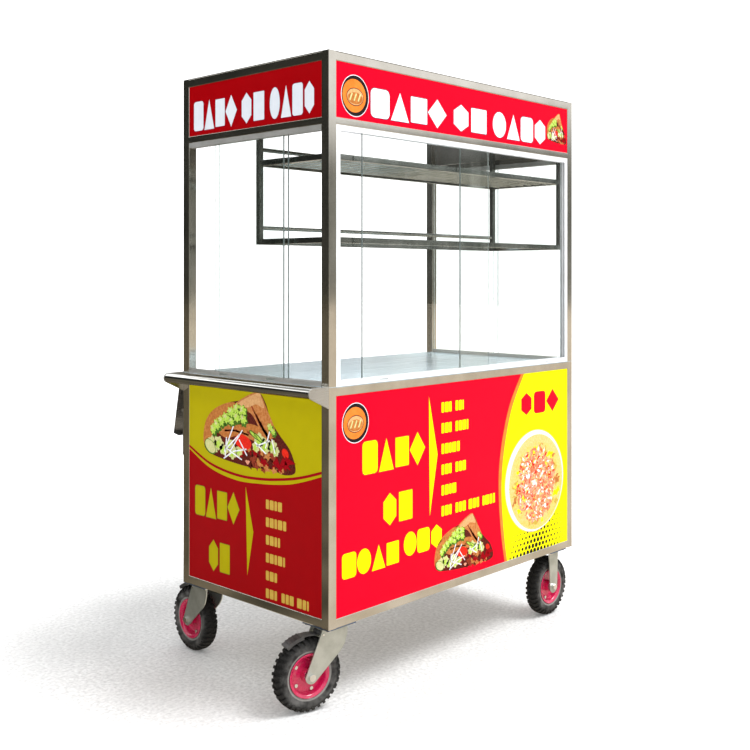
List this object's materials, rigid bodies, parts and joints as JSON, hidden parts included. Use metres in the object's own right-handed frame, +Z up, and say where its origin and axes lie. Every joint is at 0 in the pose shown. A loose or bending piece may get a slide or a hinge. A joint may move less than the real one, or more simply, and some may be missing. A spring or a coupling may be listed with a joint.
{
  "type": "push vending cart",
  "caption": "Push vending cart: sheet steel cabinet, glazed display with bread rack, sign header, push handle, folding rear shelf and pneumatic casters.",
  "frame": {"origin": "on the ground, under the middle of the cart's outer box as it stands", "axes": "+X along the long customer face, away from the push handle; -Y is the customer side and +Y the vendor side; +Z up"},
  "size_m": [1.3301, 0.7719, 1.7994],
  "materials": {
    "frame_steel": "polished stainless square tube",
    "sheet_steel": "satin stainless sheet",
    "counter_steel": "bright stainless sheet",
    "track_white": "white powder coat",
    "track_grey": "natural anodised",
    "glass": "clear float glass",
    "panel_front": "printed sheet, red and yellow",
    "panel_ends": "printed sheet, yellow and red",
    "panel_header": "printed sheet, red",
    "zinc_steel": "zinc plated pressed steel",
    "tyre_rubber": "black block-tread rubber",
    "rim_red": "crimson gloss paint",
    "black_rubber": "moulded black rubber"
  },
  "bodies": {
    "cart": {"lower_posts": "frame_steel", "bottom_rails": "frame_steel", "cross_members": "frame_steel", "cabinet_top_rails": "frame_steel", "post_inserts": "zinc_steel", "front_panel": "panel_front", "left_panel": "panel_ends", "right_panel": "panel_ends", "cabinet_floor": "sheet_steel", "inner_shelf": "sheet_steel", "counter_top": "counter_steel", "door_tracks": "track_grey", "upper_posts": "frame_steel", "roof_rails": "frame_steel", "header_rails": "frame_steel", "roof_sheet": "sheet_steel", "header_panels": "panel_header", "front_window_track": "track_white", "side_window_tracks": "track_grey", "rack_hangers": "frame_steel", "rack_rails": "frame_steel", "rack_shelf_bars": "frame_steel", "push_handle": "frame_steel", "handle_gussets": "sheet_steel", "shelf_hinges": "sheet_steel", "shelf_bumpers": "black_rubber", "stay_brackets": "sheet_steel", "caster_plates": "zinc_steel", "caster_fasteners": "zinc_steel", "caster_pins": "zinc_steel", "fixed_forks": "zinc_steel"},
    "door_left": {"door_left": "sheet_steel"},
    "door_right": {"door_right": "sheet_steel"},
    "front_pane_left": {"front_pane_left": "glass"},
    "front_pane_right": {"front_pane_right": "glass"},
    "left_pane_outer": {"left_pane_outer": "glass"},
    "left_pane_inner": {"left_pane_inner": "glass"},
    "right_pane_outer": {"right_pane_outer": "glass"},
    "right_pane_inner": {"right_pane_inner": "glass"},
    "rear_shelf": {"rear_shelf": "sheet_steel"},
    "stay_left": {"stay_left": "sheet_steel"},
    "stay_right": {"stay_right": "sheet_steel"},
    "swivel_front_left": {"fork_front_left": "zinc_steel", "pins_front_left": "zinc_steel"},
    "wheel_front_left": {"tyre_front_left": "tyre_rubber", "rim_front_left": "rim_red", "hub_front_left": "zinc_steel"},
    "pedal_front_left": {"pedal_front_left": "black_rubber"},
    "swivel_rear_left": {"fork_rear_left": "zinc_steel", "pins_rear_left": "zinc_steel"},
    "wheel_rear_left": {"tyre_rear_left": "tyre_rubber", "rim_rear_left": "rim_red", "hub_rear_left": "zinc_steel"},
    "pedal_rear_left": {"pedal_rear_left": "black_rubber"},
    "wheel_front_right": {"tyre_front_right": "tyre_rubber", "rim_front_right": "rim_red", "hub_front_right": "zinc_steel"},
    "wheel_rear_right": {"tyre_rear_right": "tyre_rubber", "rim_rear_right": "rim_red", "hub_rear_right": "zinc_steel"}
  },
  "joints": [
    {"name": "door_left_slide", "type": "slide", "parent": "cart", "child": "door_left", "axis": [1, 0, 0], "range_m": [0, 0.547]},
    {"name": "door_right_slide", "type": "slide", "parent": "cart", "child": "door_right", "axis": [-1, 0, 0], "range_m": [0, 0.547]},
    {"name": "front_pane_left_slide", "type": "slide", "parent": "cart", "child": "front_pane_left", "axis": [1, 0, 0], "range_m": [-0.101, 0.447]},
    {"name": "front_pane_right_slide", "type": "slide", "parent": "cart", "child": "front_pane_right", "axis": [1, 0, 0], "range_m": [-0.548, 0]},
    {"name": "left_pane_outer_slide", "type": "slide", "parent": "cart", "child": "left_pane_outer", "axis": [0, 1, 0], "range_m": [-0.159, 0.124]},
    {"name": "left_pane_inner_slide", "type": "slide", "parent": "cart", "child": "left_pane_inner", "axis": [0, 1, 0], "range_m": [-0.15, 0.133]},
    {"name": "right_pane_outer_slide", "type": "slide", "parent": "cart", "child": "right_pane_outer", "axis": [0, 1, 0], "range_m": [0, 0.283]},
    {"name": "right_pane_inner_slide", "type": "slide", "parent": "cart", "child": "right_pane_inner", "axis": [0, 1, 0], "range_m": [-0.283, 0]},
    {"name": "rear_shelf_hinge", "type": "hinge", "parent": "cart", "child": "rear_shelf", "pos_m": [0.04806, 0.28401, 0.88], "axis": [1, 0, 0], "range_deg": [0, 79]},
    {"name": "stay_left_swing", "type": "hinge", "parent": "cart", "child": "stay_left", "pos_m": [-0.54094, 0.27701, 0.765], "axis": [1, 0, 0], "range_deg": [0, 148.5]},
    {"name": "stay_right_swing", "type": "hinge", "parent": "cart", "child": "stay_right", "pos_m": [0.63706, 0.27701, 0.765], "axis": [1, 0, 0], "range_deg": [0, 148.5]},
    {"name": "swivel_front_left", "type": "hinge", "parent": "cart", "child": "swivel_front_left", "pos_m": [-0.49694, -0.33099, 0.22], "axis": [0, 0, 1], "continuous": true},
    {"name": "roll_front_left", "type": "hinge", "parent": "swivel_front_left", "child": "wheel_front_left", "pos_m": [-0.56649, -0.31235, 0.1], "axis": [-0.2588, -0.9659, 0], "continuous": true},
    {"name": "brake_front_left", "type": "hinge", "parent": "swivel_front_left", "child": "pedal_front_left", "pos_m": [-0.53172, -0.32167, 0.209], "axis": [0.2588, 0.9659, 0], "range_deg": [0, 8]},
    {"name": "swivel_rear_left", "type": "hinge", "parent": "cart", "child": "swivel_rear_left", "pos_m": [-0.49694, 0.21401, 0.22], "axis": [0, 0, 1], "continuous": true},
    {"name": "roll_rear_left", "type": "hinge", "parent": "swivel_rear_left", "child": "wheel_rear_left", "pos_m": [-0.49192, 0.28584, 0.1], "axis": [-0.9976, 0.0698, 0], "continuous": true},
    {"name": "brake_rear_left", "type": "hinge", "parent": "swivel_rear_left", "child": "pedal_rear_left", "pos_m": [-0.49443, 0.24992, 0.209], "axis": [0.9976, -0.0698, 0], "range_deg": [0, 8]},
    {"name": "roll_front_right", "type": "hinge", "parent": "cart", "child": "wheel_front_right", "pos_m": [0.56506, -0.33099, 0.1], "axis": [0, 1, 0], "continuous": true},
    {"name": "roll_rear_right", "type": "hinge", "parent": "cart", "child": "wheel_rear_right", "pos_m": [0.56506, 0.21401, 0.1], "axis": [0, 1, 0], "continuous": true}
  ],
  "couplings": [
    {"joint": "stay_left_swing", "follows": "rear_shelf_hinge", "ratio": 1.872},
    {"joint": "stay_right_swing", "follows": "rear_shelf_hinge", "ratio": 1.872}
  ]
}
